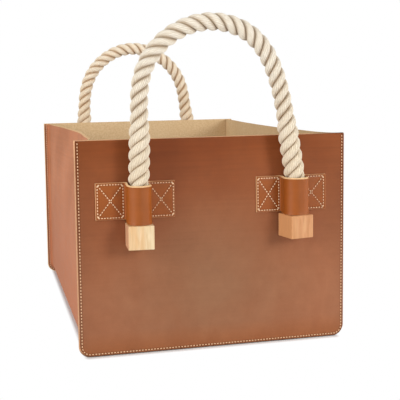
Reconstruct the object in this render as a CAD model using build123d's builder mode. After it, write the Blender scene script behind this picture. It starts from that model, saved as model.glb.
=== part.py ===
from build123d import *
import math
import os

# Leather log bag: two flat panels joined by one U-shaped gusset, with four leather sleeves
# that hold two thick rope handles ending in square wooden blocks.
# X runs along the panels, -Y is the front, +Z is up. The origin is at the bottom centre.

# Driving sizes of the bag, in millimetres
BAG_WIDTH = 450.0
BAG_DEPTH = 620.0
BAG_HEIGHT = 345.0
PANEL_THICKNESS = 4.0
PANEL_CORNER_RADIUS = 22.0

# The gusset: its edges turn outward as flanges that are sewn flat to the panels
GUSSET_THICKNESS = 3.5
SEAM_WIDTH = 10.0
FOLD_RADIUS = 3.5
STRAIGHT_ABOVE_CORNER = 8.0

# How far the gusset bows into the bag at the rim, near the front, at two stations and near the back
RIM_BOW_FRONT = 18.0
RIM_BOW_FIRST = 26.5
RIM_BOW_SECOND = 14.0
RIM_BOW_BACK = 2.0
RIM_FOLD_GROWTH_FRONT = 14.0
RIM_FOLD_GROWTH_BACK = 3.0
STATION_SHARES = (0.34, 0.66)
HEIGHT_SHARES = (0.0, 0.34, 0.67, 1.0)
BOW_SHARES = (0.0, 0.1, 0.4, 1.0)

# The rope and the way it stands off the panel
ROPE_DIAMETER = 30.0
ROPE_AXIS_OFFSET = 23.6
SLEEVE_SPACING_SHARE = 0.572
RUNNING_CLEARANCE = 0.3

# The sleeves: one strap each, folded round the rope with some slack, with a sewn wing that reaches
# so far to the left and to the right of the rope
STRAP_THICKNESS = 3.5
SLEEVE_CLEARANCES = {"front_left": 0.8, "front_right": 2.0, "back_left": 1.4, "back_right": 1.0}
WING_REACHES = {
    "front_left": (65.5, 62.0),
    "front_right": (60.0, 62.0),
    "back_left": (62.5, 64.0),
    "back_right": (63.5, 61.5),
}
STRAP_HEIGHT = 59.0
STRAP_BOTTOM = 219.0
STRAP_FOLD_RADIUS = 2.5
STRAP_CORNER_RADIUS = 1.5

# The wooden end blocks, how far each hangs under its strap and is turned with the rope, and the
# blind bore that each rope end is glued into
BLOCK_SIDE = 40.5
BLOCK_HEIGHT = 37.0
BLOCK_EDGE_RADIUS = 1.2
BLOCK_DROPS = {"front_left": 4.8, "front_right": 1.7, "back_left": 2.6, "back_right": 2.4}
BLOCK_TURNS = {"front_left": -3.5, "front_right": 10.5, "back_left": 3.0, "back_right": -6.0}
BORE_DIAMETER = 26.0
BORE_DEPTH = 22.0
GLUE_CLEARANCE = 0.1

# Where the rope bends: just above a sleeve when it folds out, and at the rim when it folds in
SLEEVE_BEND_RISE = 1.0
RIM_BEND_RISE = 2.0

# Route of each handle's centreline from the left sleeve to the right one. A point is a share of
# half the sleeve spacing along X, and a share of the handle's rise above the sleeve bend.
FRONT_RISE = 244.5
FRONT_ROUTE_SHARES = (
    (-1.0, -0.1), (-0.999, 0.02), (-0.988, 0.16), (-0.982, 0.34), (-0.982, 0.56), (-0.936, 0.69),
    (-0.841, 0.79), (-0.697, 0.878), (-0.517, 0.945), (-0.316, 0.989), (-0.109, 1.007), (0.102, 0.998),
    (0.298, 0.963), (0.454, 0.911), (0.589, 0.834), (0.710, 0.718), (0.807, 0.557), (0.869, 0.385),
    (0.920, 0.21), (0.969, 0.06), (0.997, -0.03), (1.0, -0.1),
)
BACK_RISE = 236.0
BACK_ROUTE_SHARES = (
    (-1.0, -0.1), (-0.999, 0.04), (-0.997, 0.20), (-0.994, 0.38), (-0.972, 0.56), (-0.905, 0.692),
    (-0.798, 0.796), (-0.633, 0.890), (-0.431, 0.960), (-0.221, 0.998), (-0.012, 1.004), (0.209, 0.980),
    (0.428, 0.922), (0.619, 0.837), (0.763, 0.734), (0.857, 0.605), (0.902, 0.44), (0.944, 0.27),
    (0.984, 0.09), (0.999, -0.02), (1.0, -0.1),
)
ROUTE_ARC_SHARE = 0.45

half_width = BAG_WIDTH / 2
panel_face = BAG_DEPTH / 2
panel_inside = panel_face - PANEL_THICKNESS
flange_face = panel_inside - GUSSET_THICKNESS
rope_radius = ROPE_DIAMETER / 2
rope_axis = panel_face + ROPE_AXIS_OFFSET
sleeve_x = SLEEVE_SPACING_SHARE * BAG_WIDTH / 2
strap_top = STRAP_BOTTOM + STRAP_HEIGHT
sleeve_bend = strap_top + SLEEVE_BEND_RISE
rim_bend = BAG_HEIGHT + RIM_BEND_RISE
corner_top = PANEL_CORNER_RADIUS + STRAIGHT_ABOVE_CORNER

os.makedirs("parts", exist_ok=True)


def save(part, name):
    """Labels a finished piece and writes it under its own name."""
    part.label = name
    export_step(part, f"parts/{name}.step")


def make_panel(facing):
    """A flat leather panel with rounded bottom corners. facing is -1 for the front, 1 for the back."""
    with BuildPart() as panel:
        with BuildSketch(Plane.XZ.offset(-facing * panel_face)) as outline:
            with Locations((0, BAG_HEIGHT / 2)):
                Rectangle(BAG_WIDTH, BAG_HEIGHT)
            bottom_corners = outline.vertices().group_by(Axis.Y)[0]
            fillet(bottom_corners, PANEL_CORNER_RADIUS)
        extrude(amount=facing * PANEL_THICKNESS)
    return panel.part


def wall_side(bow, offset):
    """One face of the gusset as a line from the front flange to the back one.

    bow is 0 where the wall is straight and 1 at the rim. offset is 0 on the outside of the
    leather and its thickness on the inside. Points are (inset from the panel edge, depth).
    """
    front_radius = FOLD_RADIUS + bow * RIM_FOLD_GROWTH_FRONT
    back_radius = FOLD_RADIUS + bow * RIM_FOLD_GROWTH_BACK
    front_inset = SEAM_WIDTH + bow * RIM_BOW_FRONT
    back_inset = SEAM_WIDTH + bow * RIM_BOW_BACK
    front_end = -flange_face + front_radius
    back_end = flange_face - back_radius
    length = back_end - front_end
    first = Vector(SEAM_WIDTH + bow * RIM_BOW_FIRST, front_end + STATION_SHARES[0] * length)
    second = Vector(SEAM_WIDTH + bow * RIM_BOW_SECOND, front_end + STATION_SHARES[1] * length)
    front = Vector(front_inset, front_end)
    back = Vector(back_inset, back_end)
    first_normal = (second - front).normalized().rotate(Axis.Z, -90)
    second_normal = (back - first).normalized().rotate(Axis.Z, -90)
    front_centre = Vector(front_inset - front_radius, front_end)
    back_centre = Vector(back_inset - back_radius, back_end)
    front_reach = front_radius + offset
    back_reach = back_radius + offset
    flange_depth = flange_face + offset
    with BuildLine() as side:
        Line((0, -flange_depth), (front_centre.X, -flange_depth))
        CenterArc(front_centre, front_reach, -90, 90)
        Spline(
            front_centre + Vector(front_reach, 0),
            first + first_normal * offset,
            second + second_normal * offset,
            back_centre + Vector(back_reach, 0),
            tangents=[(0, 1), (0, 1)],
        )
        CenterArc(back_centre, back_reach, 0, 90)
        Line((back_centre.X, flange_depth), (0, flange_depth))
    return side.line


def gusset_section(plane, bow):
    """The cross-section of the gusset with its two flanges, on a plane at the panel's edge."""
    outside = wall_side(bow, 0)
    inside = wall_side(bow, GUSSET_THICKNESS)
    with BuildSketch(plane) as section:
        with BuildLine():
            add(outside)
            add(inside)
            Line((0, -panel_inside), (0, -flange_face))
            Line((0, flange_face), (0, panel_inside))
        make_face()
    return section.sketch


def make_gusset():
    """One strip of leather: down the left side, along the bottom and up the right side."""
    path_x = half_width - SEAM_WIDTH
    corner_x = half_width - PANEL_CORNER_RADIUS
    bend = PANEL_CORNER_RADIUS - SEAM_WIDTH
    left_plane = Plane(origin=(-half_width, 0, 0), x_dir=(1, 0, 0), z_dir=(0, 0, 1))
    start_plane = Plane(origin=(-half_width, 0, corner_top), x_dir=(1, 0, 0), z_dir=(0, 0, 1))
    with BuildPart() as gusset:
        with BuildLine(Plane.XZ) as path:
            Line((-path_x, corner_top), (-path_x, PANEL_CORNER_RADIUS))
            CenterArc((-corner_x, PANEL_CORNER_RADIUS), bend, 180, 90)
            Line((-corner_x, SEAM_WIDTH), (corner_x, SEAM_WIDTH))
            CenterArc((corner_x, PANEL_CORNER_RADIUS), bend, 270, 90)
            Line((path_x, PANEL_CORNER_RADIUS), (path_x, corner_top))
        sweep(gusset_section(start_plane, 0), path=path.line)
        with BuildPart(mode=Mode.PRIVATE) as wall:
            rise = BAG_HEIGHT - corner_top
            sections = [
                gusset_section(left_plane.offset(corner_top + height * rise), bow)
                for height, bow in zip(HEIGHT_SHARES, BOW_SHARES)
            ]
            loft(sections)
        add(wall.part)
        add(mirror(wall.part, about=Plane.YZ))
    return gusset.part


def make_sleeve(centre_x, facing, clearance, reaches):
    """A strap sewn to a panel by its two wings and folded round the rope between them."""
    left_reach, right_reach = reaches
    middle = -facing * (right_reach - left_reach) / 2
    inner_radius = rope_radius + clearance
    outer_radius = inner_radius + STRAP_THICKNESS
    flesh_radius = STRAP_FOLD_RADIUS + STRAP_THICKNESS
    plane = Plane(
        origin=(centre_x, facing * panel_face, STRAP_BOTTOM),
        x_dir=(-facing, 0, 0),
        z_dir=(0, 0, 1),
    )
    with BuildPart() as sleeve:
        with BuildSketch(plane) as outline:
            with Locations((middle, -STRAP_THICKNESS / 2)):
                Rectangle(left_reach + right_reach, STRAP_THICKNESS)
            with Locations((0, -ROPE_AXIS_OFFSET / 2)):
                Rectangle(2 * outer_radius, ROPE_AXIS_OFFSET)
            with Locations((0, -ROPE_AXIS_OFFSET)):
                Circle(outer_radius)
            with Locations((0, -ROPE_AXIS_OFFSET / 2)):
                Rectangle(2 * inner_radius, ROPE_AXIS_OFFSET, mode=Mode.SUBTRACT)
            with Locations((0, -ROPE_AXIS_OFFSET)):
                Circle(inner_radius, mode=Mode.SUBTRACT)
        extrude(amount=STRAP_HEIGHT)
        upright = sleeve.edges().filter_by(Axis.Z)
        panel_line = upright.filter_by(
            lambda edge: math.isclose(abs(edge.center().Y), panel_face, abs_tol=GLUE_CLEARANCE)
        )
        fold_inside = panel_line.filter_by(
            lambda edge: abs(edge.center().X - centre_x) < outer_radius
        )
        fillet(fold_inside, flesh_radius)
        upright = sleeve.edges().filter_by(Axis.Z)
        grain_line = abs(panel_face + STRAP_THICKNESS)
        fold_outside = upright.filter_by(
            lambda edge: math.isclose(abs(edge.center().Y), grain_line, abs_tol=GLUE_CLEARANCE)
            and abs(edge.center().X - centre_x) < outer_radius + STRAP_THICKNESS
        )
        fillet(fold_outside, STRAP_FOLD_RADIUS)
        wing_corners = sleeve.edges().filter_by(Axis.Y).group_by(Axis.X)
        fillet(wing_corners[0] + wing_corners[-1], STRAP_CORNER_RADIUS)
    return sleeve.part


def make_end_block(centre_x, centre_y, block_top, turn):
    """A wooden block with a blind bore in its top, turned a little with the rope's twist."""
    with BuildPart() as block:
        with Locations(Location((centre_x, centre_y, block_top), (0, 0, turn))):
            Box(
                BLOCK_SIDE,
                BLOCK_SIDE,
                BLOCK_HEIGHT,
                align=(Align.CENTER, Align.CENTER, Align.MAX),
            )
        fillet(block.edges(), BLOCK_EDGE_RADIUS)
        with Locations((centre_x, centre_y, block_top)):
            Hole(BORE_DIAMETER / 2, depth=BORE_DEPTH)
    return block.part


def make_rope_end(centre_x, centre_y, block_top):
    """The rope inside a sleeve, with its trimmed end glued in the block."""
    with BuildPart() as rope_end:
        with BuildSketch(Plane.XY.offset(block_top)):
            with Locations((centre_x, centre_y)):
                Circle(rope_radius)
        extrude(amount=sleeve_bend - block_top)
        with BuildSketch(Plane.XY.offset(block_top)):
            with Locations((centre_x, centre_y)):
                Circle(BORE_DIAMETER / 2 - GLUE_CLEARANCE)
        extrude(amount=-(BORE_DEPTH - GLUE_CLEARANCE))
    return rope_end.part


def route_radii(points):
    """The largest tangent arc at each corner of a route."""
    radii = []
    for before, corner, after in zip(points, points[1:], points[2:]):
        first_run = corner - before
        next_run = after - corner
        half_turn = math.radians(first_run.get_angle(next_run)) / 2
        shorter = min(first_run.length, next_run.length)
        radii.append(ROUTE_ARC_SHARE * shorter / math.tan(half_turn))
    return radii


def make_rope_span(route_shares, rise, centre_y):
    """The rope from the left sleeve bend over to the right one, as a round tube."""
    points = [
        Vector(x_share * sleeve_x, centre_y, sleeve_bend + rise_share * rise)
        for x_share, rise_share in route_shares
    ]
    radii = route_radii(points)
    with BuildPart() as span:
        with BuildLine() as route:
            FilletPolyline(*points, radius=radii)
        with BuildSketch(Plane(origin=points[0], z_dir=points[1] - points[0])):
            Circle(rope_radius)
        sweep(path=route.line)
    length = sum(edge.length for edge in route.edges())
    share = span.part.volume / (math.pi * rope_radius**2 * length)
    print(f"rope span {length:.0f} mm, tightest radius {min(radii):.0f} mm, volume share {share:.4f}")
    return span.part


def cut_rope(span, low, high):
    """The stretch of a rope span between two heights, kept clear of the bend planes."""
    tall = high - low
    reach = 2 * (BAG_WIDTH + BAG_DEPTH)
    with BuildPart() as piece:
        add(span)
        with Locations((0, 0, low)):
            Box(
                reach,
                reach,
                tall,
                align=(Align.CENTER, Align.CENTER, Align.MIN),
                mode=Mode.INTERSECT,
            )
    return piece.part


save(make_panel(-1), "front_panel")
save(make_panel(1), "back_panel")
save(make_gusset(), "gusset")

for side, facing, route_shares, rise in (
    ("front", -1, FRONT_ROUTE_SHARES, FRONT_RISE),
    ("back", 1, BACK_ROUTE_SHARES, BACK_RISE),
):
    axis_y = facing * rope_axis
    for hand, centre_x in (("left", -sleeve_x), ("right", sleeve_x)):
        corner = f"{side}_{hand}"
        sleeve = make_sleeve(centre_x, facing, SLEEVE_CLEARANCES[corner], WING_REACHES[corner])
        save(sleeve, f"{corner}_sleeve")
        block_top = STRAP_BOTTOM - BLOCK_DROPS[corner]
        turn = BLOCK_TURNS[corner]
        save(make_rope_end(centre_x, axis_y, block_top), f"{corner}_rope_end")
        save(make_end_block(centre_x, axis_y, block_top, turn), f"{corner}_end_block")
    span = make_rope_span(route_shares, rise, axis_y)
    lower = cut_rope(span, sleeve_bend + RUNNING_CLEARANCE, rim_bend)
    for hand, leg in zip(("left", "right"), lower.solids().sort_by(Axis.X)):
        save(Part(leg.wrapped), f"{side}_{hand}_rope_leg")
    top = rim_bend + rise + ROPE_DIAMETER
    arch = cut_rope(span, rim_bend + RUNNING_CLEARANCE, top)
    save(arch, f"{side}_rope_arch")
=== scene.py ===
from math import copysign, cos, dist, exp, hypot, pi, radians, sin

import bmesh
import bpy
import numpy as np
from mathutils import Matrix, Vector, geometry, noise


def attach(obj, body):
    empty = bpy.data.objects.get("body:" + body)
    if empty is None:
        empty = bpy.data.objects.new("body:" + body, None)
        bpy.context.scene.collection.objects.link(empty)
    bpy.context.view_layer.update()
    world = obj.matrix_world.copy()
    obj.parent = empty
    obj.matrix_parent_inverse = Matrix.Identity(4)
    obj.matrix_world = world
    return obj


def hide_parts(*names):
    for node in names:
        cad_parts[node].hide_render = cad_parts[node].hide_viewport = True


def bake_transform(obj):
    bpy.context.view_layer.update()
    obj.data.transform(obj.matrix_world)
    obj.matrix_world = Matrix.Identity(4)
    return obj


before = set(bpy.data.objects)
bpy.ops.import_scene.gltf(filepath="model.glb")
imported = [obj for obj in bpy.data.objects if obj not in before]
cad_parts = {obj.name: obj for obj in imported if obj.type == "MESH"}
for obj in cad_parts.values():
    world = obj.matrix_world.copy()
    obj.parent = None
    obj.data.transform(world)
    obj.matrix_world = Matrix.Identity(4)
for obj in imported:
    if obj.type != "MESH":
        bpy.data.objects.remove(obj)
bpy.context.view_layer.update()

MM = 0.001


def by_corner(*values):
    """Values for the four sleeves; those that aren't angles are in mm."""
    return dict(zip(("front_left", "front_right", "back_left", "back_right"), values))


# The bag's sizes are those of part.py, in metres
HALF_WIDTH = 225 * MM
HALF_DEPTH = 310 * MM
HEIGHT = 345 * MM
PANEL_THICKNESS = 4 * MM
CORNER_RADIUS = 22 * MM
CUT_CORNER_RADIUS = 18.5 * MM  # trimmed a little inside the solid's corner
GUSSET_THICKNESS = 3.5 * MM
SEAM_WIDTH = 10 * MM
FOLD_RADIUS = 3.5 * MM
CORNER_TOP = 30 * MM
STRAP_THICKNESS = 3.5 * MM
WING_REACHES = by_corner((65.5, 62.0), (60.0, 62.0), (62.5, 64.0), (63.5, 61.5))
STRAP_BOTTOM = 219 * MM
STRAP_TOP = 278 * MM
SLEEVE_X = 128.7 * MM
SLEEVE_CLEARANCES = by_corner(0.8, 2.0, 1.4, 1.0)
ROPE_RADIUS = 15 * MM
ROPE_AXIS_OFFSET = 23.6 * MM
SLEEVE_BEND = 279 * MM
RIM_BEND = 347 * MM
BLOCK_SIDE = 40.5 * MM
BLOCK_HEIGHT = 37 * MM
BLOCK_DROPS = by_corner(4.8, 1.7, 2.6, 2.4)
BLOCK_TURNS = by_corner(-3.5, 10.5, 3.0, -6.0)  # degrees

# How each strap sits: how many mm its loop sags at the top and at the bottom, how many degrees its
# left and right leg tuck under the rope, and where the sewn box on either wing ends, outer edge
# first, in mm from the rope's axis
LOOP_SAGS = by_corner((2.5, 4.5), (0.3, 1.4), (1.1, 2.3), (1.6, 2.1))
LEG_TUCKS = by_corner((4, 15), (8, 58), (12, 6), (5, 18))
SEWN_BOXES = by_corner(
    ((62.2, 21.7), (59.1, 18.8)),
    ((57.3, 21.6), (56.8, 13.0)),
    ((59.2, 20.4), (60.6, 21.6)),
    ((60.2, 21.6), (58.0, 18.6)),
)

# The ropes' routes are those of part.py: along X as a share of half the sleeves' spacing, and
# above the bend at the sleeves as a share of the rise
FRONT_RISE = 244.5 * MM
FRONT_ROUTE = (
    (-1.0, -0.1), (-0.999, 0.02), (-0.988, 0.16), (-0.982, 0.34), (-0.982, 0.56),
    (-0.936, 0.69), (-0.841, 0.79), (-0.697, 0.878), (-0.517, 0.945), (-0.316, 0.989),
    (-0.109, 1.007), (0.102, 0.998), (0.298, 0.963), (0.454, 0.911), (0.589, 0.834),
    (0.710, 0.718), (0.807, 0.557), (0.869, 0.385), (0.920, 0.21), (0.969, 0.06),
    (0.997, -0.03), (1.0, -0.1),
)
BACK_RISE = 236 * MM
BACK_ROUTE = (
    (-1.0, -0.1), (-0.999, 0.04), (-0.997, 0.20), (-0.994, 0.38), (-0.972, 0.56),
    (-0.905, 0.692), (-0.798, 0.796), (-0.633, 0.890), (-0.431, 0.960), (-0.221, 0.998),
    (-0.012, 1.004), (0.209, 0.980), (0.428, 0.922), (0.619, 0.837), (0.763, 0.734),
    (0.857, 0.605), (0.902, 0.44), (0.944, 0.27), (0.984, 0.09), (0.999, -0.02),
    (1.0, -0.1),
)

# Sewing
STITCH_INSET = 5.2 * MM
STITCH_PITCH = 5.0 * MM
BOX_PITCH = 4.7 * MM
STITCH_SHARE = 0.66
THREAD_RADIUS = 0.85 * MM

# Cut edges: the panels' slants, and the rounds of the panels and of the thinner leather
SIDE_BEVEL = 1.4 * MM
FOOT_BEVEL = 2.6 * MM
TOP_BEVEL = 0.8 * MM
PANEL_ROUND = 0.4 * MM
THIN_ROUND = 0.35 * MM

# Rope lay
STRANDS = 3
LAY_LENGTH = 56 * MM
STRAND_OFFSET = 7.5 * MM
STRAND_RADIAL = 7.3 * MM
STRAND_TANGENTIAL = 8.8 * MM
YARNS = 16
YARN_COLUMNS = 4
YARN_DEPTH = 0.85 * MM
ROPE_STEP = 3.2 * MM
ROPE_START = 206 * MM
ROPE_SEAM = 322 * MM

PANEL_INSIDE = HALF_DEPTH - PANEL_THICKNESS
FLANGE_FACE = PANEL_INSIDE - GUSSET_THICKNESS
FLANGE_INSETS = (0.0, 1.6 * MM, 3.4 * MM, 4.3 * MM, STITCH_INSET, 5.9 * MM, 6.3 * MM)


# Materials

def linear(colour):
    """An sRGB colour, 0 to 255, as a linear one with alpha."""
    parts = []
    for value in colour:
        value /= 255
        parts.append(value / 12.92 if value <= 0.04045 else ((value + 0.055) / 1.055) ** 2.4)
    return (*parts, 1.0)


def fill_inputs(tree, node, inputs):
    """Sets a node's inputs; each is (socket, value or another node's output)."""
    for socket, value in inputs:
        if isinstance(value, bpy.types.NodeSocket):
            tree.links.new(value, node.inputs[socket])
        else:
            node.inputs[socket].default_value = value


def add_node(tree, kind, inputs=(), **settings):
    node = tree.nodes.new(kind)
    for key, value in settings.items():
        setattr(node, key, value)
    fill_inputs(tree, node, inputs)
    return node


def new_material(name):
    """A material, its node tree, and the place of each point in metres."""
    material = bpy.data.materials.new(name)
    material.use_nodes = True
    tree = material.node_tree
    return material, tree, add_node(tree, "ShaderNodeTexCoord").outputs["Object"]


def shade(tree, colour, roughness, normal, specular=0.5, sheen=0.0):
    """Sets the inputs of a material's own shader."""
    fill_inputs(tree, tree.nodes["Principled BSDF"], [
        ("Base Color", colour), ("Roughness", roughness), ("Normal", normal),
        ("Specular IOR Level", specular), ("Sheen Weight", sheen),
    ])


def result_of(kind, result, sockets, values, **settings):
    """A new node's result. The values go into the sockets in turn, and the first is a node's."""
    return add_node(values[0].id_data, kind, zip(sockets, values), **settings).outputs[result]


def axis_value(vector, axis):
    return result_of("ShaderNodeSeparateXYZ", axis, ["Vector"], [vector])


def maths(operation, *values):
    return result_of("ShaderNodeMath", "Value", (0, 1), values, operation=operation)


def vector_maths(operation, *vectors):
    result = "Value" if operation == "LENGTH" else "Vector"
    return result_of("ShaderNodeVectorMath", result, (0, 1), vectors, operation=operation)


def noise_value(vector, *settings):
    """Noise of so large a scale, detail, roughness and distortion."""
    sockets = ("Vector", "Scale", "Detail", "Roughness", "Distortion")
    return result_of("ShaderNodeTexNoise", "Fac", sockets, (vector, *settings))


def scaled(vector, scale, location=(0, 0, 0)):
    sockets = ("Vector", "Scale", "Location")
    return result_of("ShaderNodeMapping", "Vector", sockets, (vector, scale, location))


def remap(value, *span):
    """Takes a span's first two numbers to its last two, or to 0 and 1, and stops there."""
    sockets = ("Value", "From Min", "From Max", "To Min", "To Max")
    return result_of("ShaderNodeMapRange", "Result", sockets, (value, *span))


def bump(*values):
    """A normal from a height, strength, distance and, where there is one, an earlier normal."""
    sockets = ("Height", "Strength", "Distance", "Normal")
    return result_of("ShaderNodeBump", "Normal", sockets, values)


def ramp(factor, stops):
    """A colour ramp with (position, sRGB colour) stops."""
    node = add_node(factor.id_data, "ShaderNodeValToRGB", [("Fac", factor)])
    elements = node.color_ramp.elements
    while len(elements) < len(stops):
        elements.new(0.5)
    for element, (position, colour) in zip(elements, stops):
        element.position = position
        element.color = linear(colour)
    return node.outputs["Color"]


def mix_colour(factor, first, second, blend="MIX"):
    """Mixes a node's colour with another one's, or with an sRGB colour."""
    if isinstance(second, tuple):
        second = linear(second)
    first_socket, second_socket, result = 6, 7, 2  # the node's colour sockets, by number
    inputs = [(first_socket, first), (second_socket, second), ("Factor", factor)]
    node = add_node(first.id_data, "ShaderNodeMix", inputs, data_type="RGBA", blend_type=blend)
    return node.outputs[result]


def tinted(colour, other, value, *span):
    """A colour that gives way to another one as the remapped value says."""
    return mix_colour(remap(value, *span), colour, other)


def shaded(colour, value, *span):
    """A colour times the remapped value."""
    amounts = [remap(value, *span)] * 3
    grey = result_of("ShaderNodeCombineColor", "Color", ("Red", "Green", "Blue"), amounts)
    return mix_colour(1.0, colour, grey, "MULTIPLY")


def leather(
    name, dark, middle, light, lowest, foot=None, heart=None, sides=(1.0, 1.0), fade=(0.08, 0.33),
    rough=(0.5, 0.62), shine=0.16, seed=0.0,
):
    """Waxed tan leather: faint clouds and streaks, fine creases, painted shade along its seams.

    Over the heights of the fade, lowest gives way to a mix of the first three colours; on the
    panels the lighter lowest colour is a painted sheen, the floor's reflection low down. The foot
    is the colour close to the ground, the heart is a painted sheen round the middle of the lower
    half, and sides are the painted light and shade at the left and right edge.
    """
    material, tree, bare = new_material(name)
    place = scaled(bare, (1, 1, 1), (seed, seed * 0.7, seed * 1.3))
    broad = noise_value(place, 7.0, 2.0, 0.5, 0.3)
    colour = ramp(broad, [(0.3, dark), (0.5, middle), (0.7, light)])
    height = axis_value(bare, "Z")
    # Painted sheen: on the panels the lighter lowest colour stands for the floor's reflection low
    # down
    low = remap(height, *fade, 1.0, 0.0)
    colour = mix_colour(low, colour, lowest)
    # Painted sheen: the heart colour round the middle of the lower half
    if heart is not None:
        away = vector_maths("LENGTH", scaled(bare, (6, 0, 7), (0.03, 0, -0.72)))
        colour = tinted(colour, heart, away, 0.2, 1.15, 0.75, 0.0)
    if foot is not None:
        colour = tinted(colour, foot, height, 0.006, 0.04, 0.8, 0.0)
    # Painted light and shade across the width, by the sides' shades
    colour = shaded(colour, axis_value(bare, "X"), -HALF_WIDTH, HALF_WIDTH, *sides)
    clouds = noise_value(scaled(place, (17, 17, 12)), 1.0, 3.0, 0.55, 0.4)
    colour = tinted(colour, dark, clouds, 0.4, 0.66, 0.0, 0.17)
    mottle = noise_value(place, 60.0, 4.0, 0.6)
    colour = shaded(colour, mottle, 0.3, 0.7, 0.95, 1.04)
    grain = noise_value(scaled(place, (6, 6, 210)), 1.0, 3.0, 0.6, 0.3)
    streaked = shaded(colour, grain, 0.3, 0.7, 0.92, 1.06)
    colour = mix_colour(remap(low, 0.0, 1.0, 0.1, 0.8), streaked, colour)
    cell_inputs = [("Vector", place), ("Scale", 520.0)]
    cells = add_node(tree, "ShaderNodeTexVoronoi", cell_inputs, feature="DISTANCE_TO_EDGE")
    creases = remap(cells.outputs["Distance"], 0.0, 0.16)
    fine = noise_value(place, 1600.0, 3.0, 0.6)
    streaks = noise_value(scaled(place, (14, 14, 160)), 3.0, 4.0, 0.6, 0.8)
    scuff = remap(streaks, 0.66, 0.76)
    colour = tinted(colour, dark, creases, 0.0, 1.0, 0.12, 0.0)
    colour = tinted(colour, light, scuff, 0.0, 1.0, 0.0, 0.06)
    # Painted shade that the meshes carry: by the seams, on the flanges and on the straps' loops
    painted_shade = add_node(tree, "ShaderNodeAttribute", attribute_name="painted_shade").outputs["Fac"]
    colour = shaded(colour, painted_shade, 0.0, 1.0, 1.0, 0.5)
    normal = bump(broad, 0.15, 1.0 * MM)
    normal = bump(creases, 0.22, 0.16 * MM, normal)
    normal = bump(fine, 0.3, 0.06 * MM, normal)
    shade(tree, colour, remap(mottle, 0.3, 0.7, *rough), normal, shine)
    return material


def fibrous(name, dark, light, scale, height, dark_tone=None, zones=()):
    """Raw leather: the flesh side, or a cut edge that darkens to the dark tone in some zones.

    A zone is a place value, where it begins and is full, and its share of the dark tone.
    """
    material, tree, place = new_material(name)
    soft = noise_value(place, scale, 6.0, 0.7)
    broad = noise_value(place, 12.0, 3.0, 0.5)
    colour = ramp(soft, [(0.3, dark), (0.7, light)])
    colour = tinted(colour, dark, broad, 0.35, 0.65, 0.0, 0.35)
    right = axis_value(place, "X")
    off = maths("SUBTRACT", maths("ABSOLUTE", right), SLEEVE_X)
    from_rope = maths("ABSOLUTE", off)
    values = {"height": axis_value(place, "Z"), "right": right, "from_rope": from_rope}
    for value, bare, full, share in zones:
        colour = tinted(colour, dark_tone, values[value], bare, full, 0.0, share)
    shade(tree, colour, 0.88, bump(soft, 0.5, height), 0.2)
    return material


def thread_material(name, dark, light):
    material, tree, place = new_material(name)
    twist = noise_value(place, 1500.0, 2.0, 0.6)
    shade(tree, ramp(twist, [(0.3, dark), (0.65, light)]), 0.6, bump(twist, 0.6, 0.15 * MM))
    return material


def rope_material(name, groove_shade, dark, light):
    """Natural fibre yarns: streaks along each yarn, painted shade in the grooves of the lay."""
    material, tree, place = new_material(name)
    yarn = add_node(tree, "ShaderNodeUVMap", uv_map="yarns").outputs["UV"]
    streaks = noise_value(scaled(yarn, (9, 160, 1)), 1.0, 5.0, 0.65)
    patches = noise_value(scaled(yarn, (1.3, 90, 1)), 1.0, 2.0, 0.6)
    colour = ramp(streaks, [(0.28, dark), (0.62, light)])
    colour = tinted(colour, dark, patches, 0.35, 0.65, 0.0, 0.55)
    # Painted shade in the grooves between the strands and between the yarns
    depth = add_node(tree, "ShaderNodeAttribute", attribute_name="groove_shade").outputs["Fac"]
    colour = tinted(colour, groove_shade, depth, 0.0, 1.0, 0.0, 0.85)
    # Painted bounce light: the lower rope warmer and darker, as if lit by the leather below
    painted_bounce = remap(axis_value(place, "Z"), 0.3, 0.46, 1.0, 0.0)
    colour = mix_colour(painted_bounce, colour, (248, 240, 228), "MULTIPLY")
    fine = noise_value(scaled(yarn, (14, 330, 1)), 1.0, 4.0, 0.7)
    normal = bump(streaks, 0.5, 0.5 * MM)
    normal = bump(fine, 0.5, 0.25 * MM, normal)
    shade(tree, colour, 0.85, normal, 0.18, sheen=0.25)
    return material


def oak(name, centre_x, heart, dark, middle, light, side):
    """Planed oak with its grain upright: bands of uneven width, the heart colour at its left.

    Its left and right faces have a colour of their own.
    """
    material, tree, bare = new_material(name)
    place = scaled(bare, (1, 1, 1), (-centre_x, 0, 0))
    upright = scaled(place, (1, 1, 0.16), (centre_x * 3, 0, 0))
    bands = noise_value(upright, 150.0, 2.5, 0.55, 0.5)
    colour = ramp(bands, [(0.32, dark), (0.48, middle), (0.64, light)])
    tone = noise_value(upright, 45.0, 2.0, 0.5, 0.4)
    colour = tinted(colour, middle, tone, 0.35, 0.65, 0.1, 0.7)
    wander = remap(tone, 0.3, 0.7, -0.012, 0.012)
    heartward = maths("ADD", axis_value(place, "X"), wander)
    colour = tinted(colour, heart, heartward, -0.02, 0.004, 0.75, 0.0)
    facing = add_node(tree, "ShaderNodeTexCoord").outputs["Normal"]
    sideways = maths("ABSOLUTE", axis_value(facing, "X"))
    colour = tinted(colour, side, sideways, 0.35, 0.75, 0.0, 0.8)
    fibres = noise_value(scaled(place, (800, 800, 30)), 1.0, 4.0, 0.65, 0.3)
    colour = shaded(colour, fibres, 0.35, 0.65, 0.92, 1.05)
    pores = noise_value(scaled(place, (900, 900, 38)), 1.0, 3.0, 0.6)
    pore = remap(pores, 0.62, 0.74)
    colour = tinted(colour, dark, pore, 0.0, 1.0, 0.0, 0.4)
    normal = bump(remap(pore, 0.0, 1.0, 1.0, 0.0), 0.35, 0.15 * MM)
    normal = bump(bands, 0.1, 0.1 * MM, normal)
    shade(tree, colour, 0.55, normal, 0.3)
    return material


# Panel leather: painted sheen low down and in the lower middle, painted light and shade across
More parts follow.
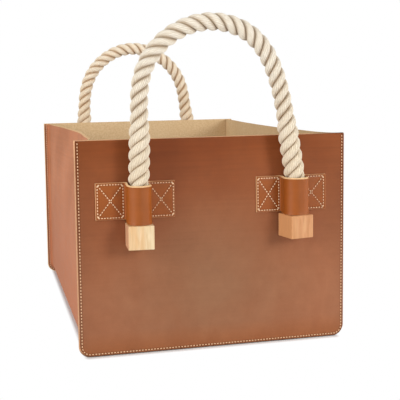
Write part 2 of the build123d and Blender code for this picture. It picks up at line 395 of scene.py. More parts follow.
PANEL_LEATHER = leather(
    "panel_leather_grain", (124, 61, 26), (134, 69, 31), (143, 76, 36),
    lowest=(161, 106, 75), foot=(160, 97, 57), heart=(146, 105, 76), sides=(0.97, 1.06),
)
GUSSET_LEATHER = leather(
    "gusset_leather_grain", (183, 118, 82), (199, 131, 94), (211, 142, 103),
    lowest=(194, 125, 90), seed=3.1,
)
STRAP_LEATHER = leather(
    "strap_leather_grain", (134, 66, 16), (155, 79, 21), (170, 91, 31),
    lowest=(163, 87, 28), fade=(0.0, 0.6), rough=(0.34, 0.44), shine=0.34, seed=7.7,
)
FLESH = fibrous("leather_flesh_side", (206, 174, 130), (234, 208, 168), 300.0, 0.3 * MM)
CUT_GRAIN = (900.0, 0.15 * MM)
PALE_CUT = ((232, 186, 134), (250, 216, 168))
# Panels' cut edge: darker below the top rim, painted shade near the ground and at the right edge
CUT_EDGE = fibrous(
    "panel_cut_edge", (222, 167, 124), (244, 197, 154), *CUT_GRAIN, dark_tone=(100, 66, 45),
    zones=(
        ("height", HEIGHT, 0.31, 0.3), ("height", 0.014, 0.003, 0.9), ("right", 0.16, 0.21, 1.0),
    ),
)
GUSSET_EDGE = fibrous("gusset_cut_edge", *PALE_CUT, *CUT_GRAIN)
STRAP_EDGE = fibrous(
    "strap_cut_edge", *PALE_CUT, *CUT_GRAIN,
    dark_tone=(172, 108, 70), zones=(("from_rope", 0.022, 0.028, 0.55),),
)
THREAD = thread_material("linen_thread", (236, 190, 146), (255, 226, 190))
SEAM_THREAD = thread_material("linen_seam_thread", (220, 168, 124), (242, 202, 162))
ROPE = rope_material("rope_fibre", (168, 142, 110), (222, 209, 186), (255, 250, 238))
# The back handle's rope: a lighter copy of the same rope fibre, painted light
LIT_BACK_ROPE = rope_material("lit_back_rope_fibre", (188, 150, 108), (242, 222, 192), (255, 250, 234))

# Heart, dark, middle and light bands, and the sides
PALE_OAK = ((226, 175, 118), (214, 173, 127), (226, 199, 157), (238, 217, 182), (207, 154, 119))
WARM_OAK = ((203, 144, 94), (187, 126, 78), (207, 148, 102), (221, 168, 120), (204, 146, 97))


# Mesh building

def place_object(name, data):
    piece = bpy.data.objects.new(name, data)
    bpy.context.scene.collection.objects.link(piece)
    return piece


def place_mesh(name, vertices, faces, materials, slots=None):
    """A smooth piece with its faces turned outward; slots number each face's material."""
    mesh = bpy.data.meshes.new(name)
    mesh.from_pydata([tuple(v) for v in vertices], [], faces)
    for material in materials:
        mesh.materials.append(material)
    if slots is not None:
        mesh.polygons.foreach_set("material_index", slots)
    work = bmesh.new()
    work.from_mesh(mesh)
    bmesh.ops.recalc_face_normals(work, faces=work.faces)
    work.to_mesh(mesh)
    work.free()
    mesh.shade_smooth()
    return place_object(name, mesh)


def mark_points(piece, name, values):
    """Gives each point of a piece a number that its material reads by this name."""
    layer = piece.data.attributes.new(name, "FLOAT", "POINT")
    layer.data.foreach_set("value", values)


def soften_edges(piece, width):
    """Burnished edges: a small round and normals that stay flat beside it."""
    bevel = piece.modifiers.new("edge", "BEVEL")
    bevel.width = width
    bevel.segments = 3
    bevel.limit_method = "ANGLE"
    bevel.angle_limit = radians(50)
    bevel.material = -1
    weighted = piece.modifiers.new("shading", "WEIGHTED_NORMAL")
    weighted.keep_sharp = True


def draw_in(grid, first_reach, last_reach, column_reach):
    """Moves a grid's border inward by so far, to leave a slanted cut edge."""
    for edge, beside, reach in ((0, 1, first_reach), (-1, -2, last_reach)):
        step = grid[beside] - grid[edge]
        grid[edge] += step * (reach / np.linalg.norm(step, axis=1))[:, None]
    for edge, beside in ((0, 1), (-1, -2)):
        step = grid[:, beside] - grid[:, edge]
        grid[:, edge] += step * (column_reach / np.linalg.norm(step, axis=1))[:, None]


def sheet(name, outer, inner, shapes, loop, materials, width, painted_shade):
    """A closed sheet from matching points outside and inside, the outer faces and their border.

    Painted shade says how dark each outer point is beside its seam; width is that of the round.
    """
    count = len(outer)
    faces, slots = [], []
    for shape in shapes:
        faces += [tuple(shape), tuple(count + i for i in reversed(shape))]
        slots += [0, 1]
    for a, b in zip(loop, loop[1:] + loop[:1]):
        faces.append((a, b, b + count, a + count))
        slots.append(2)
    piece = place_mesh(name, [*outer, *inner], faces, materials, slots)
    mark_points(piece, "painted_shade", [*painted_shade, *[0.0] * count])
    soften_edges(piece, width)
    return piece


def slab(name, outer, inner, materials, painted_shade):
    """A thin sheet whose points outside and inside are two matching grids."""
    rows, columns, _ = outer.shape
    grid = np.arange(rows * columns).reshape(rows, columns)
    quads = [
        (a, a + 1, a + columns + 1, a + columns) for a in grid[:-1, :-1].reshape(-1).tolist()
    ]
    border = (grid[0], grid[1:, -1], grid[-1, -2::-1], grid[-2:0:-1, 0])
    loop = np.concatenate(border).tolist()
    sides = (side.reshape(-1, 3) for side in (outer, inner))
    return sheet(name, *sides, quads, loop, materials, THIN_ROUND, painted_shade.reshape(-1))


def tube_faces(base, rings, columns):
    """The faces between the rings of a round tube whose points start at base."""
    faces = []
    for start in range(base, base + (rings - 1) * columns, columns):
        for column in range(columns):
            a = start + column
            b = start + (column + 1) % columns
            faces.append((a, b, b + columns, a + columns))
    return faces


def clamp(value):
    return min(max(value, 0.0), 1.0)


def smooth(value):
    """An even step from 0 at 0 to 1 at 1."""
    value = clamp(value)
    return value * value * (3 - 2 * value)


def peak(distance, width):
    """A bell curve that is 1 at no distance."""
    return exp(-((distance / width) ** 2))


def hill(x, z, size, seed):
    """Smooth noise from about -1 to 1."""
    return noise.noise(Vector((x / size, z / size, seed)))


def edge_distance(x, z):
    """How far a point of a panel lies inside its left, right and bottom edges."""
    across = abs(x) - (HALF_WIDTH - CUT_CORNER_RADIUS)
    down = CUT_CORNER_RADIUS - z
    outside = hypot(max(across, 0.0), max(down, 0.0))
    return CUT_CORNER_RADIUS - outside - min(max(across, down), 0.0)


def swell(x, z, facing):
    """How far a panel stands out of its plane: a slow bulge and slight waves."""
    flat_margin, run_in = 12 * MM, 70 * MM
    bulge_height, wave_height, wave_length = 1.6 * MM, 1.3 * MM, 160 * MM
    mask = smooth((edge_distance(x, z) - flat_margin) / run_in)
    bulge = bulge_height * sin(pi * clamp(z / HEIGHT))
    waves = wave_height * hill(x, z, wave_length, 5.0 + facing)
    return mask * (bulge + waves)


def seam_route(inset, top):
    """The run down a panel's left edge, along its foot and up its right edge, at an inset.

    Gives its length, and a function from the distance along it to the point there.
    """
    side = HALF_WIDTH - inset
    radius = CUT_CORNER_RADIUS - inset
    corner_x = HALF_WIDTH - CUT_CORNER_RADIUS
    run = top - CUT_CORNER_RADIUS
    bend = pi / 2 * radius
    total = 2 * run + 2 * bend + 2 * corner_x

    def at(distance):
        if distance < run:
            return -side, top - distance
        distance -= run
        if distance < bend:
            angle = distance / radius
            return -corner_x - radius * cos(angle), CUT_CORNER_RADIUS - radius * sin(angle)
        distance -= bend
        if distance < 2 * corner_x:
            return -corner_x + distance, inset
        distance -= 2 * corner_x
        if distance < bend:
            angle = distance / radius
            return corner_x + radius * sin(angle), CUT_CORNER_RADIUS - radius * cos(angle)
        return side, CUT_CORNER_RADIUS + (distance - bend)

    return total, at


def panel_outline():
    """A panel's outline as (x, z) points, with its two upper corners just taken off."""
    radius = 1.6 * MM
    corner_steps = 4
    total, at = seam_route(0.0, HEIGHT - radius)
    steps = int(total / (2.5 * MM))
    outline = [at(total * i / steps) for i in range(steps + 1)]

    def corner(centre_x, first, past):
        angles = [pi / 2 * (i / corner_steps) for i in range(first, past)]
        return [(centre_x + radius * cos(a), HEIGHT - radius + radius * sin(a)) for a in angles]

    outline += corner(HALF_WIDTH - radius, 1, corner_steps + 1)
    across = int(2 * HALF_WIDTH / (5 * MM))
    top = 2 * HALF_WIDTH - 2 * radius
    outline += [(HALF_WIDTH - radius - top * i / across, HEIGHT) for i in range(1, across)]
    return outline + corner(-HALF_WIDTH + radius, corner_steps, 2 * corner_steps)


def make_panel(name, facing):
    """A panel cut from thick leather, with a sunk seam line round three sides."""
    seam_insets, seam_top = (4.3 * MM, STITCH_INSET, 6.1 * MM, 8.2 * MM), HEIGHT - 2.4 * MM
    seam_depth, seam_width, dark_inset, dark_width = 0.5 * MM, 0.9 * MM, 4.4 * MM, 2.2 * MM
    outline = panel_outline()
    flat = list(outline)
    for inset in seam_insets:
        total, at = seam_route(inset, seam_top)
        steps = int(total / (STITCH_PITCH / 2))
        flat += [at(total * i / steps) for i in range(steps + 1)]
    pitch, margin, top_margin = 6.5 * MM, 11 * MM, 3 * MM
    rows = int(HEIGHT / pitch)
    columns = int(2 * HALF_WIDTH / pitch)
    for row in range(rows + 1):
        for column in range(columns + 1):
            x = -HALF_WIDTH + pitch * (column + 0.5 * (row % 2))
            z = top_margin + pitch * row
            if edge_distance(x, z) > margin and z < HEIGHT - top_margin:
                flat.append((x, z))
    border = len(outline)
    edges = [(i, (i + 1) % border) for i in range(border)]
    points, _, triangles, *_ = geometry.delaunay_2d_cdt(
        [Vector(p) for p in flat], edges, [], 1, 1e-7
    )
    outer, painted_shade = [], []
    for i, (x, z) in enumerate(points):
        distance = edge_distance(x, z)
        sunk = seam_depth * peak(distance - STITCH_INSET, seam_width)
        # Painted shade by the sunk seam, where the edge bends down, and slightly darker edges
        line = 0.7 * peak(distance - dark_inset, dark_width)
        painted_shade.append(line + 0.16 * peak(distance, 26 * MM))
        y = facing * (HALF_DEPTH + swell(x, z, facing) - sunk)
        if i < border:
            x *= 1 - SIDE_BEVEL / HALF_WIDTH
            z = FOOT_BEVEL + z * (1 - (FOOT_BEVEL + TOP_BEVEL) / HEIGHT)
        outer.append((x, y, z))
    inner = [(x, facing * (PANEL_INSIDE + swell(x, z, facing)), z) for x, z in points]
    materials = [PANEL_LEATHER, FLESH, CUT_EDGE]
    loop = list(range(border))
    return sheet(name, outer, inner, triangles, loop, materials, PANEL_ROUND, painted_shade)


def cubic(t, span, first, last, first_slope, last_slope):
    """A cubic's value and slope at share t of its span, from the values and slopes at its ends."""
    a = 2 * t**3 - 3 * t**2 + 1
    b = t**3 - 2 * t**2 + t
    c = -2 * t**3 + 3 * t**2
    d = t**3 - t**2
    value = a * first + b * span * first_slope + c * last + d * span * last_slope
    slope = (
        (6 * t**2 - 6 * t) * (first - last) / span
        + (3 * t**2 - 4 * t + 1) * first_slope
        + (3 * t**2 - 2 * t) * last_slope
    )
    return value, slope


def flange(offset, facing):
    """A flange's part of the section from its cut edge inward, sunk under its seam outside."""
    section = []
    for inset in FLANGE_INSETS:
        sunk = 0.4 * MM if inset == STITCH_INSET and offset == 0 else 0.0
        section.append((inset, facing * (FLANGE_FACE + offset + sunk)))
    return section


def wall_section(bow, offset):
    """The gusset across its width, as (inset, depth) points, from front flange to back flange.

    The bow is 0 where the wall is straight and 1 at the rim, where the folds are wider by their
    growths, in mm, and the four points that guide the wall stand further in by their own.
    """
    front_growth, back_growth, run_growth, wall_growths = 16, 2, 46, (20, 25.5, 17, 2)
    front_radius = FOLD_RADIUS + bow * front_growth * MM
    back_radius = FOLD_RADIUS + bow * back_growth * MM
    front_run = front_radius + bow * run_growth * MM
    front_end = -FLANGE_FACE + front_run
    back_end = FLANGE_FACE - back_radius
    start = -FLANGE_FACE + front_radius
    length = back_end - start
    depths = (front_end, start + 0.34 * length, start + 0.66 * length, back_end)
    insets = [SEAM_WIDTH + bow * growth * MM for growth in wall_growths]
    inner_slopes = [(insets[k + 2] - insets[k]) / (depths[k + 2] - depths[k]) for k in (0, 1)]
    slopes = [0.0, *inner_slopes, 0.0]
    front_x = insets[0] - front_radius
    back_x = insets[3] - back_radius
    section = flange(offset, -1)
    for i in range(12):
        angle = -pi / 2 + pi / 2 * i / 11
        section.append((
            front_x + (front_radius + offset) * cos(angle),
            front_end + (front_run + offset) * sin(angle),
        ))
    steps = 14
    for k in range(3):
        span = depths[k + 1] - depths[k]
        for i in range(1, steps + (k < 2)):
            t = i / steps
            inset, slope = cubic(t, span, *insets[k:k + 2], *slopes[k:k + 2])
            size = hypot(1, slope)
            section.append((inset + offset / size, depths[k] + t * span - offset * slope / size))
    for i in range(8):
        angle = pi / 2 * i / 7
        reach = back_radius + offset
        section.append((back_x + reach * cos(angle), back_end + reach * sin(angle)))
    return section + flange(offset, 1)[::-1]


def gusset_stations():
    """Where the sections stand: a point of the panel's edge, the way inward, and the bow there."""
    corner_x = HALF_WIDTH - CORNER_RADIUS
    stations = []
    rows = 44
    for i in range(rows + 1):
        z = HEIGHT - (HEIGHT - CORNER_TOP) * i / rows
        height = max((z - CORNER_TOP) / (HEIGHT - CORNER_TOP), 0.0)
        stations.append(((-HALF_WIDTH, z), (1.0, 0.0), height**2.15))
    for i in range(11):
        angle = pi / 2 * i / 10
        way = (cos(angle), sin(angle))
        stations.append((
            (-corner_x - CORNER_RADIUS * way[0], CORNER_RADIUS - CORNER_RADIUS * way[1]), way, 0.0
        ))
    for i in range(1, 19):
        stations.append(((-corner_x + corner_x * i / 18, 0.0), (0.0, 1.0), 0.0))
    mirrored = [((-x, z), (-dx, dz), bow) for (x, z), (dx, dz), bow in reversed(stations[:-1])]
    return stations + mirrored


def make_gusset(name):
    """The sheet between the panels, with slight waves in its walls and a sag in its bottom."""
    wave_height, wave_length, sag_depth = 1.6 * MM, 110 * MM, 5.5 * MM
    sides = []
    for offset in (0.0, GUSSET_THICKNESS):
        rows = []
        for (x, z), (dx, dz), bow in gusset_stations():
            upward = smooth((z - CORNER_TOP) / (60 * MM))
            seed = 11.0 + copysign(1, x)
            row = []
            for inset, depth in wall_section(bow, offset):
                middle = sin(pi * clamp((depth + FLANGE_FACE) / (2 * FLANGE_FACE)))
                wave = wave_height * middle * hill(depth, z + x, wave_length, seed)
                sag = 0.0
                if z == 0.0:
                    along = cos(pi / 2 * x / (HALF_WIDTH - CORNER_RADIUS))
                    sag = sag_depth * middle * max(along, 0.0) ** 0.6
                inset += wave * upward - sag
                row.append((x + inset * dx, depth, z + inset * dz))
            rows.append(row)
        sides.append(np.array(rows))
    draw_in(sides[0], 1.4 * MM, 1.4 * MM, 0.7 * MM)
    painted_shade = np.zeros(sides[0].shape[:2])
    # Painted shade on the flanges, folded in between the walls and the panels
    for margin, mark in ((4, 0.8), (5, 0.4)):
        painted_shade[:, :margin] = np.maximum(painted_shade[:, :margin], mark)
        painted_shade[:, -margin:] = np.maximum(painted_shade[:, -margin:], mark)
    return slab(name, *sides, [GUSSET_LEATHER, FLESH, GUSSET_EDGE], painted_shade)


# Stitches

def add_stitch(vertices, faces, start, end, outward, lift):
    """One visible stitch: a short round thread that dips into its holes at both ends."""
    along = end - start
    length = along.length
    along.normalize()
    side = outward.cross(along).normalized()
    base = len(vertices)
    sides = 6
    rise = ((0.0, 0.35, -0.9), (0.14, 0.85, -0.1), (0.35, 1.0, 0.35))
    profile = rise + tuple((1 - share, size, height) for share, size, height in reversed(rise))
    for share, size, height in profile:
        centre = start + along * length * share + outward * (lift + THREAD_RADIUS * height)
        for i in range(sides):
            angle = 2 * pi * i / sides
            vertices.append(
                centre + THREAD_RADIUS * size * (cos(angle) * side + sin(angle) * outward)
            )
    faces += tube_faces(base, len(profile), sides)
    faces.append(tuple(base + i for i in reversed(range(sides))))
    faces.append(tuple(len(vertices) - sides + i for i in range(sides)))


def stitch_row(vertices, faces, count, place, outward, lift):
    """Evenly spaced stitches; place gives the point at a share of the row."""
    gap = (1 - STITCH_SHARE) / 2
    for i in range(count):
        start, end = (place(share) for share in ((i + gap) / count, (i + 1 - gap) / count))
        add_stitch(vertices, faces, start, end, outward, lift)


def seam_stitches(name, facing, side):
    """A panel's seam, as seen on its outer face (side 1) or on the gusset's flange (side -1)."""
    vertices, faces = [], []
    total, at = seam_route(STITCH_INSET, HEIGHT - 3 * MM)
    depth = facing * (HALF_DEPTH if side > 0 else FLANGE_FACE)

    def place(share):
        x, z = at(total * share)
        return Vector((x, depth, z))

    outward = Vector((0, facing * side, 0))
    stitch_row(vertices, faces, round(total / STITCH_PITCH), place, outward, -0.25 * MM)
    return place_mesh(name, vertices, faces, [SEAM_THREAD if side > 0 else THREAD])


# Sleeves

def strap_side(loop, reach, tuck):
    """The right half of a strap in plan, from beside the rope to the end of the wing.

    Gives points of the middle line, each with the way to the grain side. The leg follows the
    rope round by the tuck angle, runs straight to the panel and folds over into the wing.
    """
    middle = STRAP_THICKNESS / 2
    points = []

    def put(x, out, heading):
        points.append((x, out, -sin(heading), cos(heading)))

    turn_steps = 2 + int(tuck / 0.13)
    for i in range(1, turn_steps + 1):
        angle = tuck * i / turn_steps
        put(loop * cos(angle), ROPE_AXIS_OFFSET - loop * sin(angle), -pi / 2 - angle)
    x, out = points[-1][:2]
    drop = out - middle
    fold = min(2.5 * MM + middle, drop / (1 + sin(tuck)))
    straight = max(drop - fold * (1 + sin(tuck)), 0.0) / cos(tuck)
    heading = -pi / 2 - tuck
    straight_steps, fold_steps = 6, 8
    if straight > 1 * MM:
        for i in range(1, straight_steps + 1):
            step = straight * i / straight_steps
            put(x + step * cos(heading), out + step * sin(heading), heading)
    x += straight * cos(heading)
    out += straight * sin(heading)
    for i in range(1, fold_steps + 1):
        angle = heading * (1 - i / fold_steps)
        fold_x, fold_out = fold * (sin(angle) - sin(heading)), fold * (cos(heading) - cos(angle))
        put(x + fold_x, out + fold_out, angle)
    x = points[-1][0]
    steps = int((reach - x) / (1.5 * MM))
    for i in range(1, steps + 1):
        put(x + (reach - x) * i / steps, middle, 0.0)
    return points


def strap_profile(corner):
    """A whole strap in plan, from the end of its left wing to the end of its right one."""
    loop = ROPE_RADIUS + SLEEVE_CLEARANCES[corner] * MM + STRAP_THICKNESS / 2
    left, right = (
        strap_side(loop, reach * MM, radians(tuck))
        for reach, tuck in zip(WING_REACHES[corner], LEG_TUCKS[corner])
    )
    over = [
        (-loop * cos(angle), ROPE_AXIS_OFFSET + loop * sin(angle), -cos(angle), sin(angle))
        for angle in (pi * i / 24 for i in range(25))
    ]
    return [(-x, out, -nx, ny) for x, out, nx, ny in reversed(left)] + over + right


def wing_lines(corner):
    """The sewn box and cross of both wings, as pairs of (x, z) points, x from the rope."""
    low = STRAP_BOTTOM + 3.6 * MM
    high = STRAP_TOP - 3.2 * MM
    lines = []
    for way, (outer, inner) in zip((-MM, MM), SEWN_BOXES[corner]):
        corners = [(way * outer, low), (way * outer, high), (way * inner, high), (way * inner, low)]
        lines += [(corners[i], corners[(i + 1) % 4]) for i in range(4)]
        lines += [(corners[0], corners[2]), (corners[1], corners[3])]
    return lines


def line_distance(x, z, line):
    (ax, az), (bx, bz) = line
    dx, dz = bx - ax, bz - az
    t = clamp(((x - ax) * dx + (z - az) * dz) / (dx * dx + dz * dz))
    return hypot(x - ax - t * dx, z - az - t * dz)


def make_sleeve(name, corner, centre_x, facing, seed):
    """A strap sewn to its panel by both wings and folded round the rope between them."""
    profile = strap_profile(corner)
    lines = wing_lines(corner)
    high_sag, low_sag = LOOP_SAGS[corner]
    half = STRAP_THICKNESS / 2
    strap_height = STRAP_TOP - STRAP_BOTTOM
    seam_depth, mouth_flare, crumple_depth = 0.45 * MM, 0.7 * MM, 0.35 * MM
    wing_run, lift_run = 8 * MM, 14 * MM
    end_step = 2.6 * MM / strap_height
    rows = int(strap_height / (1.5 * MM))
    shares = [0.0] + [end_step + (1 - 2 * end_step) * i / rows for i in range(rows + 1)] + [1.0]
    outer, inner, painted_shade = [], [], []
    for share in shares:
        outer_row, inner_row, painted_shade_row = [], [], []
        for x, out, nx, ny in profile:
            wing = 1 - smooth((out - half) / wing_run)
            z = STRAP_BOTTOM + strap_height * share
            sunk = mark = 0.0
            # Painted shade along the sunk wing seams, with the wings a little darker all over
            if out < 0.6 * STRAP_THICKNESS:
                nearest = min(line_distance(x, z, line) for line in lines)
                sunk = seam_depth * peak(nearest, 1.1 * MM)
                mark = 0.3 * peak(nearest, 1.5 * MM) + 0.2
            # Painted shade on the loop: darker down its middle, darkest where it turns back
            turn = abs(x) / (ROPE_RADIUS + STRAP_THICKNESS)
            loop_shade = 0.3 * peak(turn, 0.38) + 0.6 * smooth((turn - 0.85) / 0.25)
            painted_shade_row.append(mark + loop_shade * (1 - wing))
            sag = low_sag + (high_sag - low_sag) * share
            z -= sag * MM * smooth(out / (ROPE_AXIS_OFFSET + ROPE_RADIUS))
            mouth = mouth_flare * (abs(share - 0.5) * 2) ** 6 * (1 - wing)
            crumple = crumple_depth * (1 - wing) * hill(x * 3 + out, z, 20 * MM, seed)
            lift = swell(centre_x + x, z, facing) * (1 - smooth((out - half) / lift_run))
            for row_points, distance in ((outer_row, half - sunk), (inner_row, -half)):
                reach = distance + mouth + (crumple if distance > 0 else 0.0)
                row_points.append((
                    centre_x + x + nx * reach,
                    facing * (HALF_DEPTH + out + ny * reach + lift),
                    z,
                ))
        outer.append(outer_row)
        inner.append(inner_row)
        painted_shade.append(painted_shade_row)
    outer = np.array(outer)
    loop = np.array([smooth((out - half) / wing_run) for _, out, _, _ in profile])
    draw_in(outer, (0.9 - 0.6 * loop) * MM, (0.9 + 1.2 * loop) * MM, 0.9 * MM)
    materials = [STRAP_LEATHER, FLESH, STRAP_EDGE]
    return slab(name, outer, np.array(inner), materials, np.array(painted_shade))


def sleeve_stitches(name, corner, centre_x, facing):
    vertices, faces = [], []
    for (ax, az), (bx, bz) in wing_lines(corner):
        ax += centre_x
        bx += centre_x

        def place(share):
            x, z = ax + (bx - ax) * share, az + (bz - az) * share
            depth = HALF_DEPTH + STRAP_THICKNESS + swell(x, z, facing)
            return Vector((x, facing * depth, z))

        count = max(1, round(dist((ax, az), (bx, bz)) / BOX_PITCH))
        stitch_row(vertices, faces, count, place, Vector((0, facing, 0)), -0.1 * MM)
    return place_mesh(name, vertices, faces, [THREAD])


# Wooden blocks

def make_block(name, centre_x, facing, drop, turn, material):
    """A planed block with softened corners, turned a little about the rope."""
    work = bmesh.new()
    bmesh.ops.create_cube(work, size=BLOCK_SIDE)
    bmesh.ops.subdivide_edges(work, edges=work.edges[:], cuts=7, use_grid_fill=True)
    middle = STRAP_BOTTOM - drop * MM - BLOCK_HEIGHT / 2
    spot = Matrix.Translation((centre_x, facing * (HALF_DEPTH + ROPE_AXIS_OFFSET), middle))
    flatten = Matrix.Diagonal((1, 1, BLOCK_HEIGHT / BLOCK_SIDE, 1))
    work.transform(spot @ Matrix.Rotation(radians(turn), 4, "Z") @ flatten)
    mesh = bpy.data.meshes.new(name)
    work.to_mesh(mesh)
    work.free()
    mesh.materials.append(material)
    mesh.shade_smooth()
    piece = place_object(name, mesh)
    soften_edges(piece, 1.1 * MM)
    return piece


# Rope

def rope_line(route, rise, facing):
    """Even points along a handle from block to block, and how far along each one is."""
    y = facing * (HALF_DEPTH + ROPE_AXIS_OFFSET)
    start, end = (Vector((x, y, ROPE_START)) for x in (-SLEEVE_X, SLEEVE_X))
    points = [Vector((x * SLEEVE_X, y, SLEEVE_BEND + share * rise)) for x, share in route]
    points = [start, *points, end]
    curve = bpy.data.curves.new("route", "CURVE")
    curve.dimensions = "3D"
    curve.resolution_u = 24
    spline = curve.splines.new("NURBS")
    spline.points.add(len(points) - 1)
    for control, point in zip(spline.points, points):
        control.co = (*point, 1.0)
    spline.order_u = 3
    spline.use_endpoint_u = True
    holder = place_object("route", curve)
    bpy.context.view_layer.update()
    mesh = bpy.data.meshes.new_from_object(holder)
    line = np.array([v.co for v in mesh.vertices])
    bpy.data.objects.remove(holder)
    bpy.data.curves.remove(curve)
    bpy.data.meshes.remove(mesh)
    lengths = np.concatenate([[0.0], np.cumsum(np.linalg.norm(np.diff(line, axis=0), axis=1))])
    steps = int(lengths[-1] / ROPE_STEP)
    even = np.linspace(0.0, lengths[-1], steps + 1)
    return np.stack([np.interp(even, lengths, line[:, i]) for i in range(3)], axis=1), even


def rope_swell(z):
    """How thick the rope is against its sleeve: looser above the sleeve, tighter in the arch."""
    swelling, shrinking, sleeve_run, arch_run = 0.135, 1.25, 10 * MM, 36 * MM
    out_of_sleeve = smooth((z - SLEEVE_BEND + sleeve_run / 2) / sleeve_run)
    into_arch = smooth((z - RIM_BEND) / arch_run)
    return 1 + swelling * (out_of_sleeve - shrinking * into_arch)


def make_rope(name, line, distances, first, last, phase, fibre):
    """Three laid strands of ridged yarns along part of a handle's centreline."""
    tangents = np.gradient(line, axis=0)
    tangents /= np.linalg.norm(tangents, axis=1)[:, None]
    across = np.array((0.0, 1.0, 0.0))
    uneven, uneven_rate, strand_shift, uv_shift = 0.02, 90, 2.1, 1.37
    columns = YARNS * YARN_COLUMNS
    vertices, faces, uvs, groove_shades = [], [], [], []
    yarn_turn = -0.86 * (ROPE_RADIUS / STRAND_TANGENTIAL) * 2 * pi / LAY_LENGTH
    rings = last - first + 1
    for strand in range(STRANDS):
        base = len(vertices)
        for ring in range(first, last + 1):
            distance = distances[ring]
            girth = rope_swell(line[ring][2])
            waver = sin(distance * uneven_rate + strand * strand_shift + phase)
            wobble = girth * (1 + uneven * waver)
            angle = phase + 2 * pi * (strand / STRANDS + distance / LAY_LENGTH)
            normal = np.cross(across, tangents[ring])
            outward = cos(angle) * normal + sin(angle) * across
            sideways = -sin(angle) * normal + cos(angle) * across
            centre = line[ring] + girth * STRAND_OFFSET * outward
            for column in range(columns):
                share = column / columns
                around = 2 * pi * share + yarn_turn * distance
                ridge = abs(sin(pi * YARNS * share))
                depth = YARN_DEPTH * (1 - ridge**0.7)
                radial = (STRAND_RADIAL * wobble - depth) * cos(around)
                tangential = (STRAND_TANGENTIAL * wobble - depth) * sin(around)
                point = centre + radial * outward + tangential * sideways
                vertices.append(point)
                reach = np.linalg.norm(point - line[ring]) / ROPE_RADIUS
                # Painted shade: how deep the point lies in the grooves of the lay
                groove_shades.append(smooth((0.95 - reach) / 0.33) + 0.35 * (1 - ridge))
        faces += tube_faces(base, rings, columns)
        for v0, v1 in zip(distances[first:last], distances[first + 1:last + 1]):
            for column in range(columns):
                u0 = (column / YARN_COLUMNS) + strand * YARNS * uv_shift
                u1 = u0 + 1 / YARN_COLUMNS
                uvs += [u0, v0, u1, v0, u1, v1, u0, v1]
        for ring, sign in ((0, -1), (rings - 1, 1)):
            hub = len(vertices)
            start = base + ring * columns
            vertices.append(np.mean(vertices[start:start + columns], axis=0))
            groove_shades.append(1.0)
            for column in range(columns):
                a = start + column
                b = start + (column + 1) % columns
                faces.append((a, b, hub) if sign > 0 else (b, a, hub))
                uvs += [0.0, 0.0] * 3
    mesh = bpy.data.meshes.new(name)
    mesh.from_pydata([tuple(v) for v in vertices], [], faces)
    layer = mesh.uv_layers.new(name="yarns")
    layer.data.foreach_set("uv", uvs)
    mesh.materials.append(fibre)
    mesh.shade_smooth()
    mesh.set_sharp_from_angle(angle=radians(60))
    piece = place_object(name, mesh)
    mark_points(piece, "groove_shade", groove_shades)
    return piece


def make_handle(side, facing, route, rise, phase, fibre):
    """A handle's rope in three pieces, which meet above its sleeves.

    Gives the lengths of its bow and of the whole rope.
    """
    line, distances = rope_line(route, rise, facing)
    above = np.nonzero(line[:, 2] >= ROPE_SEAM)[0]
    first, last = int(above[0]), int(above[-1])
    for hand, start, end in (("left", 0, first), ("right", last, len(line) - 1)):
        piece = make_rope(f"{side}_{hand}_rope_foot", line, distances, start, end, phase, fibre)
        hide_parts(f"{side}_{hand}_rope_end")
        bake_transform(piece)
    bow = make_rope(f"{side}_rope_bow", line, distances, first, last, phase, fibre)
    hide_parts(f"{side}_left_rope_leg", f"{side}_right_rope_leg", f"{side}_rope_arch")
    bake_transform(bow)
    path = line[first:last + 1]
    length = float(np.linalg.norm(np.diff(path, axis=0), axis=1).sum())
    return length, float(distances[-1])


# The bag

def on_bag(piece, slot, *nodes):
    """A piece of the bag itself and the nodes that it stands for. Its material slot is not used."""
    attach(piece, "bag")
    if nodes:
        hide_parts(*nodes)


for side, facing in (("front", -1), ("back", 1)):
    on_bag(make_panel(f"{side}_panel_leather", facing), "panel_leather", f"{side}_panel")
    for place, way in (("outer", 1), ("inner", -1)):
        on_bag(seam_stitches(f"{side}_seam_{place}_stitches", facing, way), "rope")
    for hand, centre_x in (("left", -SLEEVE_X), ("right", SLEEVE_X)):
        corner = f"{side}_{hand}"
        seed = 20.0 + centre_x * 9 + facing
        sleeve = make_sleeve(f"{corner}_sleeve_leather", corner, centre_x, facing, seed)
        on_bag(sleeve, "strap_leather", f"{corner}_sleeve")
        stitches = sleeve_stitches(f"{corner}_sleeve_stitches", corner, centre_x, facing)
        on_bag(stitches, "rope")
        tones = PALE_OAK if hand == "left" else WARM_OAK
        wood = oak(f"{corner}_oak", centre_x, *tones)
        block = make_block(
            f"{corner}_oak_block", centre_x, facing, BLOCK_DROPS[corner], BLOCK_TURNS[corner], wood
        )
        on_bag(block, "light_oak" if hand == "left" else "warm_oak", f"{corner}_end_block")
on_bag(make_gusset("gusset_leather"), "gusset_leather", "gusset")

for side, facing, route, rise, phase, fibre in (
    ("front", -1, FRONT_ROUTE, FRONT_RISE, 0.6, ROPE),
    ("back", 1, BACK_ROUTE, BACK_RISE, 2.0, LIT_BACK_ROPE),
):
    length, whole = make_handle(side, facing, route, rise, phase, fibre)
    print(f"{side} rope: bow {length:.3f} m, whole {whole:.3f} m")


# Stage, light and camera

WHITE = (1.0, 1.0, 1.0, 1.0)
PALE = (0.93, 0.93, 0.93, 1.0)


def blank_tree(block):
    block.use_nodes = True
    block.node_tree.nodes.clear()
    return block.node_tree


def output_mix(tree, kind, factor, first, second):
    """Ends a tree in a mix of two shader nodes."""
    inputs = [(0, factor), (1, first.outputs[0]), (2, second.outputs[0])]
    mixed = add_node(tree, "ShaderNodeMixShader", inputs)
    add_node(tree, kind, [("Surface", mixed.outputs["Shader"])])


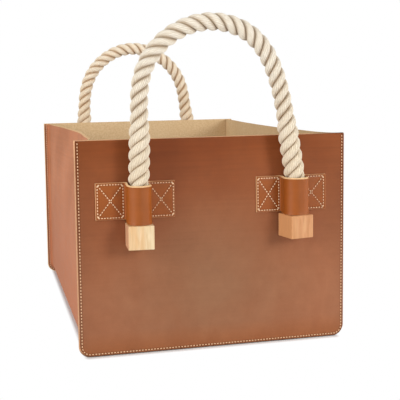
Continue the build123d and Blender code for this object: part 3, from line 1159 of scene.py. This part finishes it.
def make_floor():
    """A floor that keeps the shadow right under the bag and is white to the camera beyond it."""
    reach = 5.0
    corners = [(-reach, -reach, 0), (reach, -reach, 0), (reach, reach, 0), (-reach, reach, 0)]
    mesh = bpy.data.meshes.new("floor")
    mesh.from_pydata(corners, [], [(0, 1, 2, 3)])
    material = bpy.data.materials.new("studio_floor")
    tree = blank_tree(material)
    place = add_node(tree, "ShaderNodeTexCoord").outputs["Object"]
    sides = vector_maths("ABSOLUTE", place)
    foot = (HALF_WIDTH - 0.75 * CORNER_RADIUS, HALF_DEPTH, 0)
    beyond = vector_maths("MAXIMUM", vector_maths("SUBTRACT", sides, foot))
    away = remap(vector_maths("LENGTH", beyond), 0.003, 0.009)
    seen = add_node(tree, "ShaderNodeLightPath").outputs["Is Camera Ray"]
    surface = add_node(tree, "ShaderNodeBsdfDiffuse", [("Color", PALE)])
    glow = add_node(tree, "ShaderNodeEmission", [("Color", WHITE), ("Strength", 1.0)])
    factor = maths("MULTIPLY", seen, away)
    output_mix(tree, "ShaderNodeOutputMaterial", factor, surface, glow)
    mesh.materials.append(material)
    place_object("floor", mesh)


def make_world():
    """Soft light from all round, and white behind."""
    world = bpy.data.worlds.new("studio")
    tree = blank_tree(world)
    seen = add_node(tree, "ShaderNodeLightPath").outputs["Is Camera Ray"]
    soft, white = (
        add_node(tree, "ShaderNodeBackground", [("Color", WHITE), ("Strength", strength)])
        for strength in (0.4, 1.0)
    )
    output_mix(tree, "ShaderNodeOutputWorld", seen, soft, white)
    bpy.context.scene.world = world


def add_light(name, position, target, size, power):
    light = bpy.data.lights.new(name, "AREA")
    light.size = size
    light.energy = power
    lamp = place_object(name, light)
    lamp.location = position
    lamp.rotation_euler = (Vector(target) - Vector(position)).to_track_quat("-Z", "Y").to_euler()


def make_camera():
    """The camera that was fitted to the photograph."""
    sensor, focal_pixels, picture_pixels = 36.0, 787.3, 400
    data = bpy.data.cameras.new("camera")
    data.sensor_width = sensor
    data.lens = focal_pixels / picture_pixels * sensor
    data.shift_x = 0.0992
    data.shift_y = -0.0992
    camera = place_object("camera", data)
    yaw, pitch, roll = (radians(a) for a in (12.5081, 5.3894, -0.9258))
    level = cos(pitch)
    ahead = Vector((sin(yaw) * level, cos(yaw) * level, -sin(pitch)))
    right = Vector((cos(yaw), -sin(yaw), 0.0))
    up = right.cross(ahead)
    turned = cos(roll) * right + sin(roll) * up
    top = -sin(roll) * right + cos(roll) * up
    rotation = Matrix((turned, top, -ahead)).transposed()
    camera.matrix_world = Matrix.Translation((-0.35674, -1.51687, 0.42651)) @ rotation.to_4x4()
    bpy.context.scene.camera = camera


make_floor()
make_world()
add_light("key", (1.4, -2.6, 1.15), (0, 0, 0.25), 0.8, 33)
add_light("left_side", (-2.7, -1.4, 1.2), (0, 0, 0.2), 1.6, 54)
add_light("right_side", (2.6, -0.9, 1.0), (0, 0, 0.25), 1.0, 19)
make_camera()
bpy.context.scene.view_settings.view_transform = "Standard"
